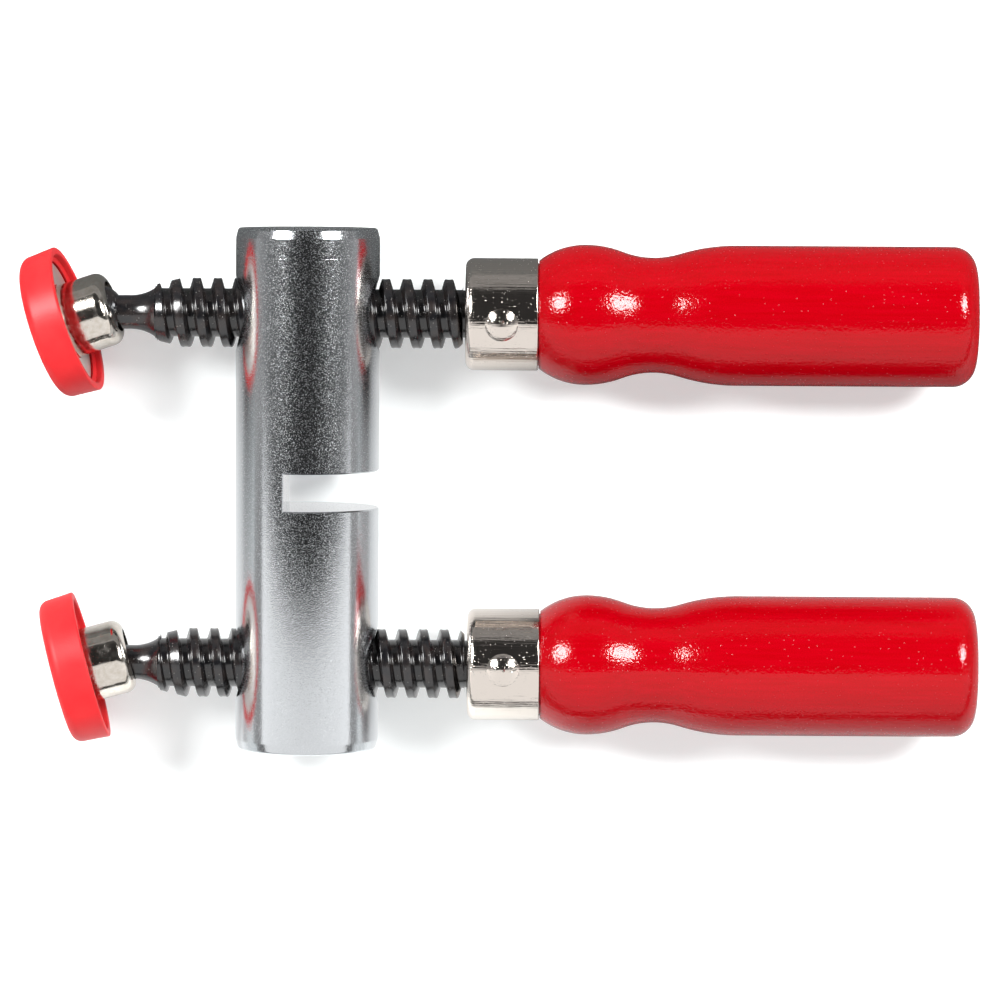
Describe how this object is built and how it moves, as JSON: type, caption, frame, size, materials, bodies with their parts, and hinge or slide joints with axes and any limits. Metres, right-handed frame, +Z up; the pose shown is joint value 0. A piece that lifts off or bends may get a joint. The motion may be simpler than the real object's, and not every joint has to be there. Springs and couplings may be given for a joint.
{
  "type": "edge clamp",
  "caption": "Round plated crossbar with a rail slot, two threaded spindles with wooden handles and ball-jointed swivel pads, for pressing edging onto a board.",
  "frame": {"origin": "centre of the flat seat at the bottom of the rail slot, level with the bar's axis", "axes": "+X along the screws towards the handles, +Y along the bar towards the upper screw, +Z up as it lies"},
  "size_m": [0.1829, 0.0996, 0.0292],
  "materials": {
    "bar_plating": "bright zinc plate over turned steel, with a fine sparkle",
    "blackened_steel": "blackened rolled steel with a light oil gloss",
    "pad_nickel": "satin nickel plate with dents from crimping",
    "ferrule_nickel": "bright nickel plate",
    "pin_nickel": "bright nickel plate",
    "red_lacquer": "glossy red lacquer over turned wood",
    "red_plastic": "satin moulded coral-red plastic"
  },
  "bodies": {
    "crossbar": {"bar": "bar_plating"},
    "upper_spindle_tip": {"upper_neck": "blackened_steel"},
    "upper_spindle": {"upper_screw": "blackened_steel", "upper_ferrule": "ferrule_nickel", "upper_cross_pin": "pin_nickel", "upper_handle": "red_lacquer"},
    "upper_ball_turn": {"upper_ball": "blackened_steel"},
    "upper_pad": {"upper_swivel_pad": "pad_nickel", "upper_pad_cap": "red_plastic"},
    "lower_spindle_tip": {"lower_neck": "blackened_steel"},
    "lower_spindle": {"lower_screw": "blackened_steel", "lower_ferrule": "ferrule_nickel", "lower_cross_pin": "pin_nickel", "lower_handle": "red_lacquer"},
    "lower_ball_turn": {"lower_ball": "blackened_steel"},
    "lower_pad": {"lower_swivel_pad": "pad_nickel", "lower_pad_cap": "red_plastic"}
  },
  "joints": [
    {"name": "upper_feed", "type": "slide", "parent": "crossbar", "child": "upper_spindle_tip", "axis": [1, 0, 0], "range_m": [-0.016, 0.016]},
    {"name": "upper_screw_turn", "type": "hinge", "parent": "upper_spindle_tip", "child": "upper_spindle", "pos_m": [0.004, 0.0335, 0], "axis": [1, 0, 0], "range_deg": [-1440.2, 1440.2]},
    {"name": "upper_pad_turn", "type": "hinge", "parent": "upper_spindle_tip", "child": "upper_ball_turn", "pos_m": [-0.03615, 0.0335, 0], "axis": [1, 0, 0], "continuous": true},
    {"name": "upper_pad_tilt", "type": "hinge", "parent": "upper_ball_turn", "child": "upper_pad", "pos_m": [-0.03615, 0.0335, 0], "axis": [0, -0.2957, 0.9553], "range_deg": [-41.3, 2.7]},
    {"name": "lower_feed", "type": "slide", "parent": "crossbar", "child": "lower_spindle_tip", "axis": [1, 0, 0], "range_m": [-0.016, 0.016]},
    {"name": "lower_screw_turn", "type": "hinge", "parent": "lower_spindle_tip", "child": "lower_spindle", "pos_m": [0.004, -0.0335, 0], "axis": [1, 0, 0], "range_deg": [-1440.2, 1440.2]},
    {"name": "lower_pad_turn", "type": "hinge", "parent": "lower_spindle_tip", "child": "lower_ball_turn", "pos_m": [-0.0355, -0.0335, 0], "axis": [1, 0, 0], "continuous": true},
    {"name": "lower_pad_tilt", "type": "hinge", "parent": "lower_ball_turn", "child": "lower_pad", "pos_m": [-0.0355, -0.0335, 0], "axis": [0, 0.1668, 0.986], "range_deg": [-30.7, 0.3]}
  ],
  "couplings": [
    {"joint": "upper_screw_turn", "follows": "upper_feed", "rad_per_m": 1570.8},
    {"joint": "lower_screw_turn", "follows": "lower_feed", "rad_per_m": 1570.8}
  ]
}
